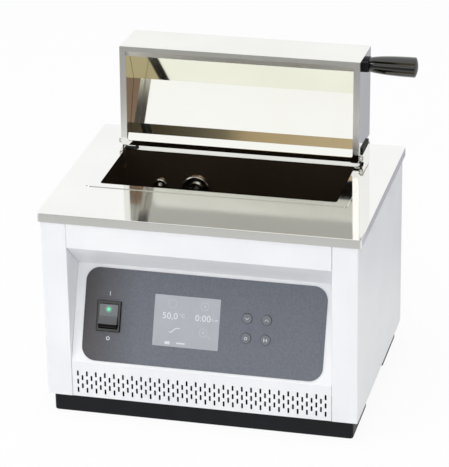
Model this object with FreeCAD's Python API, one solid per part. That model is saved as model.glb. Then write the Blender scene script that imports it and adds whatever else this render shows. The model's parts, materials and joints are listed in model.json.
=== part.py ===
import FreeCAD, Part
import math
import os

# Laboratory water bath with a hinged, double-skinned lid, in millimetres.
# Pieces are drawn round the middle of the top plate, on the bench: X right, Y to the back, Z up.
# The finished pieces are moved so that the origin is under the middle of the whole bath's box.
# The lid is modelled open, leaning back on its rubber stops.

# Fits
gap = 0.3
pin_clearance = 0.05
screw_clearance = 0.1

# Top plate and its raised rim round the opening
plate_width = 340.0
plate_depth = 254.4
plate_side = 42.7
plate_front = 87.7
plate_rear = 69.0
plate_sheet = 1.0
plate_edge_r = 0.8
plate_corner_r = 2.5
skirt_height = 9.6
rim_raise = 0.6
rim_side = 12.5
rim_front = 9.4
rim_rear = 3.0

# Tank
tank_depth = 149.0
tank_floor = 81.0
tank_sheet = 1.0
tank_corner_r = 3.0
tank_flange = 8.0
jacket_wall = 9.0
jacket_clear = 1.0
heater_thickness = 1.6
heater_margin = 14.0
heater_corner_r = 6.0
cutout_r = 8.0
cutout_x = -20.0
cutout_height = 6.0
cutout_neck_r = 6.0
cutout_neck = 4.0
cutout_tab = 7.0
cutout_tab_width = 6.0
cutout_tab_sheet = 0.8
cutout_tab_x = 3.5

# Casing
case_sheet = 1.2
case_side_inset = 3.2
case_front_inset = 1.2
case_bottom = 21.4
pillar_width = 27.1
pillar_return = 42.0
case_bend_r = 1.1
case_flange = 12.0
rear_return = 16.0
rear_panel_inset = 6.0
rear_screw_inset = 11.0
rear_screw_low = 40.0
rear_screw_drop = 25.0
bottom_screw_inset = 16.9

# Front panel, from the top down: forehead, ledge, sloping control face, vented foot
forehead_height = 37.0
ledge_height = 33.0
ledge_back = 38.5
slope_foot_z = 61.8
vent_face_back = 0.6
vent_margin = 5.5
vent_pitch_x = 9.87
vent_pitch_z = 9.7
vent_top_z = 48.3
slot_width = 2.0
slot_height = 6.2

# Control face
membrane_side = 10.3
membrane_top = 3.5
membrane_foot = 3.06
membrane_sheet = 0.8
membrane_corner_r = 15.0
display_from_rocker = 83.7
display_below_middle = 0.35
display_width = 70.6
display_height = 53.7
display_clear = 0.05
screen_margin = 0.5
screen_depth = 2.5
display_frame_side = 3.0
display_frame_end = 4.0
window_sheet = 1.2
button_r = 5.25
button_from_display = 64.3
button_pitch = (20.7, 20.5)
button_below_middle = 0.7
button_edge_r = 0.4
button_proud = 0.9
button_travel = 1.0
button_collar = 1.5
button_collar_rim = 1.2
button_collar_clear = 0.1
button_stem = 2.2
button_stem_r = 1.6
rocker_from_edge = 27.1
rocker_below_middle = 1.25
bezel_width = 26.2
bezel_height = 32.6
bezel_proud = 1.8
bezel_wall = 2.9
bezel_lap = 1.5
bezel_chamfer = 0.8
well_depth = 10.0
terminal_x = 5.0
terminal_pitch = 8.0
terminal_sheet = 0.8
terminal_width = 6.3
terminal_length = 8.0
rocker_tilt = 9.0
rocker_edge_depth = 1.5
rocker_keel_depth = 4.0
rocker_axis_depth = 0.5
rocker_proud = 1.0
trunnion_r = 1.5
trunnion_length = 1.2
lens_r = 1.6
lens_up = 7.4
lens_depth = 2.4
switch_body_depth = 24.0
board_sheet = 1.6
board_behind = 9.0
board_left = 51.7
board_right = 14.0
board_half_height = 41.0
board_screw_inset = 4.0
board_switch = 6.0
board_chip = 14.0
board_chip_height = 1.6
board_chip_up = 13.0
board_plug = 8.0
board_plug_below_middle = 31.0
plug_wall = 2.0
plug_width = 6.0
standoff_r = 3.0

# Plinth and feet
plinth_side_inset = 5.4
plinth_front_inset = 4.1
plinth_wall = 3.0
plinth_length = 75.0
plinth_corner_r = 3.6
plinth_edge_r = 2.0
plinth_boss_r = 6.0
plinth_screw_x = 79.0
plinth_screw_y = 36.7
plinth_screw_depth = 4.0
foot_r = 11.0
foot_height = 4.0
foot_proud = 0.4
foot_edge_r = 0.6
foot_in = 24.0

# Lid, sized as it lies closed
lid_side_lap = 4.0
lid_front_lap = 4.6
lid_rear_lap = 9.3
lid_height = 62.0
lid_sheet = 1.0
lid_edge_r = 1.2
lid_mouth_r = 2.0
lid_seat = 0.4
lid_side_flange = 6.8
lid_end_flange = 5.2
tail_length = 11.2
tail_height = 12.0
liner_sheet = 0.8
liner_lip_rise = 2.2
liner_front_lip = 6.2
liner_front_drop = 30.1
liner_ridge_drop = 11.4
liner_rear_drop = 26.6
liner_ridge_forward = 3.05
liner_side_clear = 0.2
foam_start = 8.0
foam_pocket_r = 5.0
foam_pocket = 8.0
open_angle = 92.5

# Hinge
pivot_height = 7.0
pin_r = 1.25
pin_wall = 0.35
pin_end = 0.5
pin_head_r = 2.4
pin_head = 0.8
hinge_block_width = 7.5
ear_sheet = 2.5
ear_foot_sheet = 1.5
ear_round = 3.6
ear_reach = 41.8
ear_foot_reach = 7.8
ear_foot_width = 12.0
ear_screw_inset = 8.0
stop_length = 34.0
stop_end = 1.0
stop_inner = 6.0
stop_outer = 1.8

# Handle, its place measured on the closed lid's right side
handle_from_front = 9.3
handle_from_rim = 25.1
handle_block_length = 22.0
handle_block_height = 10.8
handle_block = 5.8
handle_block_r = 1.2
handle_boss_rim = 0.6
grip_neck_r = 7.6
grip_end_r = 10.8
grip_groove = 0.7
grip_cap = 2.2
grip_length = 51.5
grip_neck_share = 0.05
grip_swell_share = 0.12
grip_bore = 23.0
handle_screw_r = 1.5
handle_screw_head_r = 2.6
handle_screw_head = 1.8
handle_screw_length = 26.0

# Rear fittings
port_from_probe = 39.6
port_drop = 40.0
port_flange_r = 15.5
port_flange_edge_r = 1.4
port_body_r = 9.0
port_bore_r = 4.5
port_flange = 3.5
port_groove_rim = 3.5
port_groove = 1.0
port_lip_inset = 0.5
port_lip = 1.6
port_funnel = 2.5
port_funnel_flare = 2.2
port_body_length = 15.0
port_nut_r = 14.0
port_nut = 7.0
nut_clearance = 0.05
probe_from_wall = 39.3
probe_drop = 38.0
probe_head_r = 7.4
probe_head = 3.5
probe_head_edge_r = 2.2
probe_tip_r = 3.4
probe_body_r = 4.0
probe_body_length = 18.0
probe_nut_r = 8.0
probe_nut = 5.0
nozzle_r = 6.0
nozzle_reach = 18.0
nozzle_collar = 3.0
nozzle_chamfer = 0.8
inlet_from_side = 54.8
inlet_z = 52.0
inlet_width = 28.0
inlet_height = 22.0
inlet_depth = 24.0
inlet_ears = 20.0
inlet_flange = 2.5
inlet_flange_side = 10.0
inlet_flange_end = 4.0
inlet_flange_r = 5.0
inlet_well = 15.0
inlet_well_wall = (2.5, 3.0)
inlet_well_r = 3.0
inlet_pin_x = 7.0
inlet_pin_z = (-1.5, 2.5)
inlet_pin = (2.0, 4.0)
inlet_pin_back = 30.0
inlet_pin_front = 2.0
rear_vents = 16
rear_vent_x = -30.0
rear_vent_z = 100.0
rear_vent_height = 26.0

# Power board
power_board_z = 32.0
power_board_width = 170.0
power_board_depth = 90.0
power_board_from_side = 36.8
power_board_from_front = 56.0
power_board_screw_inset = 6.0
capacitors = 4
capacitor_r = 5.0
capacitor_height = 14.0
capacitor_pitch = 13.0
power_plug_from_right = 20.0
power_plug_from_front = 10.0
power_plug_length = 24.0
power_plug_height = 9.0
core_width = 32.0
core_depth = 32.0
core_height = 26.0
core_limb = 8.0
core_yoke = 6.0
bobbin_overhang = 4.0
bobbin_clear = 2.5
bobbin_r = 3.0
relay_width = 34.0
relay_depth = 40.0
relay_base = 5.0
relay_height = 22.0
relay_fins = 7
relay_fin_pitch = 5.4
relay_fin = 1.6
cable_sheet = 0.8
cable_width = 22.0
cable_tail = 10.0
cable_lift = 6.0
bottom_vents = 9
bottom_vent_pitch = 7.0
bottom_vent_width = 2.5
bottom_vent_length = 30.0

# Fasteners
m4_r = 2.0
m4_head_r = 3.6
m4_head = 2.4
m3_r = 1.5
m3_head_r = 2.8
m3_head = 1.8
screw_slot = 0.5

# Sizes worked out from the ones above
case_half = plate_width / 2 - case_side_inset
case_front = -plate_depth / 2 + case_front_inset
case_rear = -case_front
plate_top = tank_floor + tank_depth
plate_under = plate_top - plate_sheet
opening_half = plate_width / 2 - plate_side
opening_front = -plate_depth / 2 + plate_front
opening_rear = plate_depth / 2 - plate_rear
rim_top = plate_top + rim_raise
rim_under = rim_top - plate_sheet
tank_under = tank_floor - tank_sheet
cutout_y = (opening_front + opening_rear) / 2
seam_half = case_half - pillar_width
panel_half = seam_half - gap
vent_face = case_front + vent_face_back
forehead_bottom = plate_top - forehead_height
ledge_y = case_front + ledge_back
ledge_z = forehead_bottom - ledge_height
slope_run = math.hypot(ledge_y - vent_face, ledge_z - slope_foot_z)
slope_angle = math.degrees(math.atan2(ledge_y - vent_face, ledge_z - slope_foot_z))
membrane_half = panel_half - membrane_side
membrane_height = slope_run - membrane_top - membrane_foot
membrane_middle = membrane_top + membrane_height / 2
rocker_x = -membrane_half + rocker_from_edge
rocker_down = membrane_middle + rocker_below_middle
display_x = rocker_x + display_from_rocker
display_down = membrane_middle + display_below_middle
button_x = (display_x + button_from_display, display_x + button_from_display + button_pitch[0])
button_row = membrane_middle + button_below_middle
button_down = (button_row - button_pitch[1] / 2, button_row + button_pitch[1] / 2)
bottom_plate_z = case_bottom + case_sheet
bottom_top = bottom_plate_z + case_sheet
hand_gap_half = case_rear - plinth_front_inset - plinth_length
lid_half = opening_half + lid_side_lap
lid_front = opening_front - lid_front_lap
lid_rear = opening_rear + lid_rear_lap
lid_rim = rim_top + lid_seat
lid_top = lid_rim + lid_height
lid_back_wall = lid_rear - tail_length
pivot_y = lid_rear - lid_sheet - pin_wall - pin_r
pivot_z = lid_rim + pivot_height
ear_in = lid_half + gap
ear_out = ear_in + ear_sheet
ear_top = pivot_z + ear_round
ear_rear = pivot_y + ear_reach
ear_foot_start = pivot_y + ear_foot_reach
handle_y = lid_front + handle_from_front
handle_z = lid_rim + handle_from_rim
grip_end = lid_half + handle_block + grip_length
jacket_in_half = opening_half + tank_sheet + jacket_clear
jacket_out_half = jacket_in_half + jacket_wall
jacket_front = opening_front - tank_sheet - jacket_clear
jacket_rear = opening_rear + tank_sheet + jacket_clear
heater_bottom = tank_under - heater_thickness
jacket_floor = heater_bottom - gap
jacket_bottom = jacket_floor - jacket_wall
jacket_top = rim_under - tank_sheet - gap
rear_panel_top = plate_top - skirt_height - gap
rear_face = case_rear + case_sheet
probe_x = -opening_half + probe_from_wall
probe_z = plate_top - probe_drop
port_x = probe_x + port_from_probe
port_z = plate_top - port_drop
nozzle_end = rear_face + nozzle_reach
inlet_x = -case_half + inlet_from_side
board_left_x = -case_half + power_board_from_side
board_front_y = case_front + power_board_from_front
power_board_x = (board_left_x, board_left_x + power_board_width)
power_board_y = (board_front_y, board_front_y + power_board_depth)
power_board_top = power_board_z + board_sheet
power_plug_x = power_board_x[1] - power_plug_from_right
plug_front_y = board_front_y + power_plug_from_front
power_plug_y = (plug_front_y, plug_front_y + power_plug_length)
board_front = case_sheet + board_behind
board_back = board_front + board_sheet
board_x = (display_x - board_left, button_x[1] + board_right)
board_down = (membrane_middle - board_half_height, membrane_middle + board_half_height)
board_plug_down = membrane_middle + board_plug_below_middle
button_end = -case_sheet - button_collar_clear - button_collar - button_stem
rocker_face = membrane_sheet + bezel_proud + rocker_proud
box_middle = ((grip_end - plate_width / 2) / 2, (nozzle_end - plate_depth / 2) / 2)
far = 2 * (plate_width + plate_depth)
touch = 0.01


def box(x0, x1, y0, y1, z0, z1):
    return Part.makeBox(x1 - x0, y1 - y0, z1 - z0, FreeCAD.Vector(x0, y0, z0))


def rod(r, length, base, direction):
    return Part.makeCylinder(r, length, FreeCAD.Vector(*base), FreeCAD.Vector(*direction))


def joined(shapes):
    result = shapes[0]
    if len(shapes) > 1:
        result = result.fuse(shapes[1:])
    return result.removeSplitter()


def group(shapes):
    return Part.makeCompound(shapes)


def prism_x(points, x0, x1):
    """A YZ outline carried from x0 to x1."""
    corners = [FreeCAD.Vector(x0, y, z) for y, z in points]
    face = Part.Face(Part.makePolygon(corners + corners[:1]))
    return face.extrude(FreeCAD.Vector(x1 - x0, 0, 0))


def rounded_box(x0, x1, y0, y1, z0, z1, r):
    block = box(x0, x1, y0, y1, z0, z1)
    edges = [e for e in block.Edges if abs(e.tangentAt(e.FirstParameter).z) > 0.99]
    return block.makeFillet(r, edges)


def offset_line(points, distance):
    """The same YZ line, moved to its left by a distance, with mitred corners."""
    moved = []
    last = len(points) - 1
    for i, (y, z) in enumerate(points):
        normals = []
        if i > 0:
            normals.append(left_normal(points[i - 1], points[i]))
        if i < last:
            normals.append(left_normal(points[i], points[i + 1]))
        ny = sum(n[0] for n in normals)
        nz = sum(n[1] for n in normals)
        along = ny * normals[0][0] + nz * normals[0][1]
        moved.append((y + distance * ny / along, z + distance * nz / along))
    return moved


def left_normal(a, b):
    length = math.hypot(b[0] - a[0], b[1] - a[1])
    return (-(b[1] - a[1]) / length, (b[0] - a[0]) / length)


def folded_sheet(points, thickness, x0, x1):
    return prism_x(points + offset_line(points, thickness)[::-1], x0, x1)


def mirrored(shape):
    return shape.mirror(FreeCAD.Vector(0, 0, 0), FreeCAD.Vector(1, 0, 0))


def on_slope(shape):
    """Places a shape drawn on the control face: x across, y up the slope, z outwards."""
    placed = shape.copy()
    placed.rotate(FreeCAD.Vector(0, 0, 0), FreeCAD.Vector(1, 0, 0), 90 - slope_angle)
    placed.translate(FreeCAD.Vector(0, ledge_y, ledge_z))
    return placed


def opened(shape):
    """Turns a shape of the closed lid back to where the open lid rests."""
    turned = shape.copy()
    turned.rotate(FreeCAD.Vector(0, pivot_y, pivot_z), FreeCAD.Vector(1, 0, 0), -open_angle)
    return turned


def screw(r, head_r, head, length, base, direction):
    """A pan-head screw: base is under the head, direction is the way it goes in."""
    x, y, z = base
    dx, dy, dz = direction
    shank = rod(r, length, base, direction)
    top = rod(head_r, head, (x - dx * head, y - dy * head, z - dz * head), direction)
    cut = Part.makeBox(2 * head_r, screw_slot, 2 * screw_slot)
    cut.translate(FreeCAD.Vector(-head_r, -screw_slot / 2, -screw_slot))
    turn = FreeCAD.Rotation(FreeCAD.Vector(0, 0, -1), FreeCAD.Vector(*direction))
    place = FreeCAD.Vector(x - dx * head, y - dy * head, z - dz * head)
    cut.Placement = FreeCAD.Placement(place, turn).multiply(cut.Placement)
    return joined([shank, top]).cut(cut)


def hex_nut(r, flat, height, base, direction):
    corners = []
    for i in range(7):
        a = math.radians(60 * i)
        corners.append(FreeCAD.Vector(flat * math.cos(a), flat * math.sin(a), 0))
    body = Part.Face(Part.makePolygon(corners)).extrude(FreeCAD.Vector(0, 0, height))
    body = body.cut(rod(r, height, (0, 0, 0), (0, 0, 1)))
    turn = FreeCAD.Rotation(FreeCAD.Vector(0, 0, 1), FreeCAD.Vector(*direction))
    body.Placement = FreeCAD.Placement(FreeCAD.Vector(*base), turn)
    return body


def slot_cutter(x, z, width, height, y0, y1):
    """An upright slot with round ends, cut along Y."""
    r = width / 2
    straight = height / 2 - r
    return joined([
        box(x - r, x + r, y0, y1, z - straight, z + straight),
        rod(r, y1 - y0, (x, y0, z + straight), (0, 1, 0)),
        rod(r, y1 - y0, (x, y0, z - straight), (0, 1, 0)),
    ])


# Top plate: polished sheet with a turned-down skirt and a raised rim round the opening
def make_top_plate():
    hx = plate_width / 2
    hy = plate_depth / 2
    bottom = plate_top - skirt_height
    outer = rounded_box(-hx, hx, -hy, hy, bottom, plate_top, plate_corner_r)
    top_edges = [e for e in outer.Edges if e.BoundBox.ZMin > plate_top - touch]
    outer = outer.makeFillet(plate_edge_r, top_edges)
    ix = hx - plate_sheet
    iy = hy - plate_sheet
    inside = box(-ix, ix, -iy, iy, bottom, plate_under)
    rim_x = opening_half + rim_side
    rim_y0 = opening_front - rim_front
    rim_y1 = opening_rear + rim_rear
    field = box(-rim_x, rim_x, rim_y0, rim_y1, plate_under, plate_top)
    raised = rounded_box(-rim_x, rim_x, rim_y0, rim_y1, rim_under, rim_top, tank_corner_r)
    hole = rounded_box(-opening_half, opening_half, opening_front, opening_rear, 0, far, tank_corner_r)
    plate = joined([outer.cut(inside).cut(field), raised]).cut(hole)
    holes = []
    for x, y in bracket_screw_places():
        holes.append(rod(m3_r + screw_clearance, 2 * plate_sheet, (x, y, plate_under), (0, 0, 1)))
    return plate.cut(holes)


# Tank: open box with an outward flange under the plate's raised rim
def make_tank():
    x = opening_half
    outer = rounded_box(-x - tank_sheet, x + tank_sheet, opening_front - tank_sheet, opening_rear + tank_sheet,
                        tank_under, rim_under, tank_corner_r + tank_sheet)
    inner = rounded_box(-x, x, opening_front, opening_rear, tank_floor, far, tank_corner_r)
    flange_x = x + tank_flange
    rear_y = opening_rear + rim_rear - gap
    flange = rounded_box(-flange_x, flange_x, opening_front - tank_flange, rear_y,
                         rim_under - tank_sheet, rim_under, tank_corner_r)
    tank = joined([outer, flange]).cut(inner)
    port = rod(port_body_r + gap, 3 * tank_sheet, (port_x, opening_rear - tank_sheet, port_z), (0, 1, 0))
    probe = rod(probe_body_r + gap, 3 * tank_sheet, (probe_x, opening_rear - tank_sheet, probe_z), (0, 1, 0))
    return tank.cut([port, probe])


# Heating mat: flat silicone mat pressed to the underside of the tank
def make_heater_mat():
    x = opening_half - heater_margin
    y0 = opening_front + heater_margin
    y1 = opening_rear - heater_margin
    return rounded_box(-x, x, y0, y1, heater_bottom, tank_under, heater_corner_r)


# Insulation jacket: foam box round the tank and under the heating mat
def make_jacket():
    outer = box(-jacket_out_half, jacket_out_half, jacket_front - jacket_wall, jacket_rear + jacket_wall,
                jacket_bottom, jacket_top)
    inner = box(-jacket_in_half, jacket_in_half, jacket_front, jacket_rear, jacket_floor, far)
    port = rod(port_nut_r + jacket_clear, 3 * jacket_wall, (port_x, opening_rear, port_z), (0, 1, 0))
    probe = rod(probe_nut_r + jacket_clear, 3 * jacket_wall, (probe_x, opening_rear, probe_z), (0, 1, 0))
    cutout = rod(cutout_r + gap, 2 * jacket_wall, (cutout_x, cutout_y, jacket_bottom - gap), (0, 0, 1))
    return outer.cut([inner, port, probe, cutout])


# Overheat cut-out: a disc thermostat held against the heating mat
def make_overheat_cutout():
    body_z = heater_bottom - cutout_height
    neck_z = body_z - cutout_neck
    body = rod(cutout_r, cutout_height, (cutout_x, cutout_y, body_z), (0, 0, 1))
    neck = rod(cutout_neck_r, cutout_neck, (cutout_x, cutout_y, neck_z), (0, 0, 1))
    half_x = cutout_tab_sheet / 2
    half_y = cutout_tab_width / 2
    tabs = []
    for side in (-1, 1):
        x = cutout_x + side * cutout_tab_x
        tabs.append(box(x - half_x, x + half_x, cutout_y - half_y, cutout_y + half_y,
                        neck_z - cutout_tab, neck_z))
    return joined([body, neck] + tabs)


# Side panel: side wall wrapped round the front as a pillar, with a deep return beside the front panel
def make_side_panel():
    t = case_sheet
    top = plate_under
    side = box(case_half - t, case_half, case_front, case_rear, case_bottom, top)
    pillar = box(seam_half, case_half, case_front, case_front + t, case_bottom, top)
    inner = box(seam_half, seam_half + t, case_front, case_front + pillar_return, bottom_top + gap, top)
    rear = box(case_half - rear_return, case_half, case_rear - t, case_rear, case_bottom, top)
    shell = joined([side, pillar, inner, rear])
    corners = []
    for edge in shell.Edges:
        middle = edge.CenterOfMass
        upright = edge.BoundBox.ZLength > (top - bottom_top) * 0.9
        for x, y in ((case_half, case_front), (case_half, case_rear), (seam_half, case_front)):
            if upright and abs(middle.x - x) < touch and abs(middle.y - y) < touch:
                corners.append(edge)
    shell = shell.makeFillet(case_bend_r, corners)
    y0 = case_front + case_flange
    y1 = case_rear - case_flange
    top_flange = box(case_half - t - case_flange, case_half - t, y0, y1, top - t, top)
    low_flange = box(case_half - t - case_flange, case_half - t, y0, y1, case_bottom, case_bottom + t)
    panel = joined([shell, top_flange, low_flange])
    holes = []
    for x, y in bottom_screw_places():
        if x > 0:
            holes.append(rod(m4_r + screw_clearance, 3 * t, (x, y, case_bottom - t), (0, 0, 1)))
    for x, z in rear_screw_places():
        if x > 0:
            holes.append(rod(m3_r + screw_clearance, 3 * t, (x, case_rear - 2 * t, z), (0, 1, 0)))
    return panel.cut(holes)


def front_line():
    """Outer line of the front panel from its top flange to its foot flange."""
    return [
        (case_front + case_flange, plate_under - gap),
        (case_front, plate_under - gap),
        (case_front, forehead_bottom),
        (ledge_y, ledge_z),
        (vent_face, slope_foot_z),
        (vent_face, case_bottom),
        (vent_face + case_flange, case_bottom),
    ]


def vent_slots():
    """Columns of three slots across the panel, with columns of two between them."""
    slots = []
    y0 = vent_face - case_sheet
    y1 = vent_face + 2 * case_sheet
    columns = int(2 * (panel_half - vent_margin) / vent_pitch_x) + 1
    half = (columns - 1) / 2
    for column in range(2 * columns - 1):
        x = (column / 2 - half) * vent_pitch_x
        between = column % 2
        for row in range(3 - between):
            z = vent_top_z - (row + between / 2) * vent_pitch_z
            slots.append(slot_cutter(x, z, slot_width, slot_height, y0, y1))
    return slots


# Front panel: one folded sheet between the pillars
def make_front_panel():
    sheet = folded_sheet(front_line(), case_sheet, -panel_half, panel_half)
    cuts = vent_slots()
    depth = 3 * case_sheet
    cuts.append(on_slope(slope_box(rocker_x, rocker_down, bezel_width - 2 * gap, bezel_height - 2 * gap,
                                   -depth, depth)))
    cuts.append(on_slope(slope_box(display_x, display_down, display_width + 2 * gap, display_height + 2 * gap,
                                   -depth, depth)))
    for x in button_x:
        for down in button_down:
            cuts.append(on_slope(rod(button_r + gap, 2 * depth, (x, -down, -depth), (0, 0, 1))))
    return sheet.cut(cuts)


def slope_box(x, down, width, height, n0, n1):
    return box(x - width / 2, x + width / 2, -down - height / 2, -down + height / 2, n0, n1)


# Control membrane: dark foil panel with round corners on the sloping face
def make_membrane():
    foil = rounded_box(-membrane_half, membrane_half, -membrane_top - membrane_height, -membrane_top,
                       0, membrane_sheet, membrane_corner_r)
    low = -membrane_sheet
    high = 2 * membrane_sheet
    cuts = [
        slope_box(rocker_x, rocker_down, bezel_width - 2 * gap, bezel_height - 2 * gap, low, high),
        slope_box(display_x, display_down, display_width, display_height, low, high),
    ]
    for x in button_x:
        for down in button_down:
            cuts.append(rod(button_r + gap, high - low, (x, -down, low), (0, 0, 1)))
    return on_slope(foil.cut(cuts))


# Display window: clear plate flush with the membrane
def make_display_window():
    plate = slope_box(display_x, display_down, display_width - display_clear, display_height - display_clear,
                      membrane_sheet - window_sheet, membrane_sheet)
    return on_slope(plate)


# Display module: screen with a thin metal bezel behind the window
def make_display_module():
    front = membrane_sheet - window_sheet - display_clear
    screen = slope_box(display_x, display_down, display_width - 2 * screen_margin,
                       display_height - 2 * screen_margin, front - screen_depth, front)
    frame = slope_box(display_x, display_down, display_width + 2 * display_frame_side,
                      display_height + 2 * display_frame_end, gap - board_front, -case_sheet - gap)
    return on_slope(joined([screen, frame]))


# Buttons: round caps with a collar behind the sheet and a short stem
def make_button(x, down):
    top = membrane_sheet + button_proud
    collar_top = -case_sheet - button_collar_clear
    cap = rod(button_r, top - collar_top, (x, -down, collar_top), (0, 0, 1))
    edges = [e for e in cap.Edges if e.BoundBox.ZMin > top - touch]
    cap = cap.makeFillet(button_edge_r, edges)
    collar_r = button_r + button_collar_rim
    collar = rod(collar_r, button_collar, (x, -down, collar_top - button_collar), (0, 0, 1))
    stem = rod(button_stem_r, button_stem, (x, -down, button_end), (0, 0, 1))
    return on_slope(joined([cap, collar, stem]))


def inset_corners(xs, ys, inset):
    return [(x, y) for x in (xs[0] + inset, xs[1] - inset) for y in (ys[0] + inset, ys[1] - inset)]


def board_corners():
    return inset_corners(board_x, board_down, board_screw_inset)


# Control board: circuit board with four short switches for the buttons and a processor
def make_control_board():
    plate = box(board_x[0], board_x[1], -board_down[1], -board_down[0], -board_back, -board_front)
    holes = []
    low = -board_back - board_sheet
    for x, down in board_corners():
        holes.append(rod(m3_r + screw_clearance, 3 * board_sheet, (x, -down, low), (0, 0, 1)))
    board = plate.cut(holes)
    pieces = []
    for x in button_x:
        for down in button_down:
            pieces.append(slope_box(x, down, board_switch, board_switch,
                                    -board_front, button_end - button_travel - gap))
    chip = slope_box(display_x, membrane_middle - board_chip_up, board_chip, board_chip,
                     -board_back - board_chip_height, -board_back)
    plug = slope_box(power_plug_x, board_plug_down, cable_width + 2 * plug_wall, plug_width,
                     -board_back - board_plug, -board_back)
    return on_slope(joined([board, chip, plug] + pieces))


# Board standoffs: hexagonal spacers between the front panel and the control board
def make_board_standoffs():
    spacers = []
    for x, down in board_corners():
        base = (x, -down, -board_front)
        spacers.append(on_slope(hex_nut(m3_r + screw_clearance, standoff_r, board_behind, base, (0, 0, 1))))
    return group(spacers)


def make_board_screws():
    screws = []
    for x, down in board_corners():
        base = (x, -down, -board_back)
        screws.append(on_slope(screw(m3_r, m3_head_r, m3_head, board_behind - 1, base, (0, 0, 1))))
    return group(screws)


# Mains switch housing: bezel on the membrane and a box behind the panel
def make_switch_housing():
    top = membrane_sheet + bezel_proud
    bezel = slope_box(rocker_x, rocker_down, bezel_width, bezel_height, membrane_sheet, top)
    edges = [e for e in bezel.Edges if e.BoundBox.ZMin > top - touch]
    bezel = bezel.makeChamfer(bezel_chamfer, edges)
    body = slope_box(rocker_x, rocker_down, bezel_width - 2 * bezel_lap, bezel_height - 2 * bezel_lap,
                     -switch_body_depth, membrane_sheet)
    well = slope_box(rocker_x, rocker_down, bezel_width - 2 * bezel_wall, 2 * well_half_height(),
                     -well_depth, far)
    reach = bezel_width / 2 - bezel_wall + trunnion_length
    start = (rocker_x - reach, -rocker_down, -rocker_axis_depth)
    pivot = rod(trunnion_r + pin_clearance, 2 * reach, start, (1, 0, 0))
    terminals = []
    for side in (-1, 1):
        for row in (-1, 0, 1):
            terminals.append(slope_box(rocker_x + side * terminal_x, rocker_down + row * terminal_pitch,
                                       terminal_sheet, terminal_width,
                                       -switch_body_depth - terminal_length, -switch_body_depth))
    return on_slope(joined([joined([bezel, body]).cut([well, pivot])] + terminals))


def well_half_height():
    return bezel_height / 2 - bezel_wall


# Rocker: two faces meeting in a shallow valley, on two trunnions, pressed in at the top
def make_rocker():
    half_w = bezel_width / 2 - bezel_wall - gap
    half_h = well_half_height() - gap
    y0 = -rocker_down
    n0 = -rocker_axis_depth
    lift = half_h * math.tan(math.radians(rocker_tilt))
    points = [
        (y0 - half_h, rocker_face + lift),
        (y0, rocker_face),
        (y0 + half_h, rocker_face + lift),
        (y0 + half_h, n0 - rocker_edge_depth),
        (y0, n0 - rocker_keel_depth),
        (y0 - half_h, n0 - rocker_edge_depth),
    ]
    body = prism_x(points, rocker_x - half_w, rocker_x + half_w)
    sweep = rod(half_h, 2 * half_w, (rocker_x - half_w, y0, n0), (1, 0, 0))
    body = body.common(sweep)
    reach = half_w + trunnion_length
    trunnions = rod(trunnion_r, 2 * reach, (rocker_x - reach, y0, n0), (1, 0, 0))
    body = joined([body, trunnions])
    body.rotate(FreeCAD.Vector(0, y0, n0), FreeCAD.Vector(1, 0, 0), -rocker_tilt)
    base = (rocker_x, y0 + lens_up, lens_top() - lens_depth)
    return on_slope(body.cut(rod(lens_r, lens_depth + 1, base, (0, 0, 1))))


def lens_top():
    """How far the rocker's pressed half stands out from the control face."""
    arm = rocker_face + rocker_axis_depth
    return arm * math.cos(math.radians(rocker_tilt)) - rocker_axis_depth


# Rocker lamp: small lens set flush into the rocker's pressed half
def make_rocker_lens():
    base = (rocker_x, -rocker_down + lens_up, lens_top() - lens_depth)
    return on_slope(rod(lens_r - pin_clearance, lens_depth, base, (0, 0, 1)))


# Rear panel: flat sheet on the side panels' rear returns
def make_rear_panel():
    hx = case_half - rear_panel_inset
    sheet = box(-hx, hx, case_rear, rear_face, bottom_top + gap, rear_panel_top)
    y0 = case_rear - case_sheet
    y1 = rear_face + case_sheet
    cuts = [
        rod(nozzle_r + gap, y1 - y0, (port_x, y0, port_z), (0, 1, 0)),
        box(inlet_x - inlet_width / 2 - gap, inlet_x + inlet_width / 2 + gap, y0, y1,
            inlet_z - inlet_height / 2 - gap, inlet_z + inlet_height / 2 + gap),
    ]
    for i in range(rear_vents):
        x = rear_vent_x + i * vent_pitch_x
        cuts.append(slot_cutter(x, rear_vent_z, slot_width, rear_vent_height, y0, y1))
    for x, z in rear_screw_places() + inlet_screw_places():
        cuts.append(rod(m3_r + screw_clearance, y1 - y0, (x, y0, z), (0, 1, 0)))
    return sheet.cut(cuts)


def rear_screw_places():
    high = plate_top - rear_screw_drop
    places = []
    for side in (-1, 1):
        for z in (rear_screw_low, (rear_screw_low + high) / 2, high):
            places.append((side * (case_half - rear_screw_inset), z))
    return places


def make_rear_screws():
    screws = []
    for x, z in rear_screw_places():
        screws.append(screw(m3_r, m3_head_r, m3_head, 6 * case_sheet, (x, rear_face, z), (0, -1, 0)))
    return group(screws)


# Bottom plate: flat sheet on the casing's lower flanges
def make_bottom_plate():
    hx = case_half - case_sheet - gap
    y0 = vent_face + case_sheet + gap
    y1 = case_rear - case_sheet - gap
    plate = box(-hx, hx, y0, y1, bottom_plate_z, bottom_top)
    z0 = bottom_plate_z - case_sheet
    z1 = bottom_top + case_sheet
    cuts = []
    for x, y in bottom_screw_places() + plinth_screw_places():
        cuts.append(rod(m4_r + screw_clearance, z1 - z0, (x, y, z0), (0, 0, 1)))
    for x, y in power_board_corners():
        cuts.append(rod(m3_r + screw_clearance, z1 - z0, (x, y, z0), (0, 0, 1)))
    vent_x = power_board_x[1] + power_plug_from_right
    first = -(bottom_vents - 1) / 2 * bottom_vent_pitch
    for i in range(bottom_vents):
        y = first + i * bottom_vent_pitch
        cuts.append(box(vent_x, vent_x + bottom_vent_length, y, y + bottom_vent_width, z0, z1))
    return plate.cut(cuts)


def both_ways(x, y):
    return [(sx * x, sy * y) for sx in (-1, 1) for sy in (-1, 1)]


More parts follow.
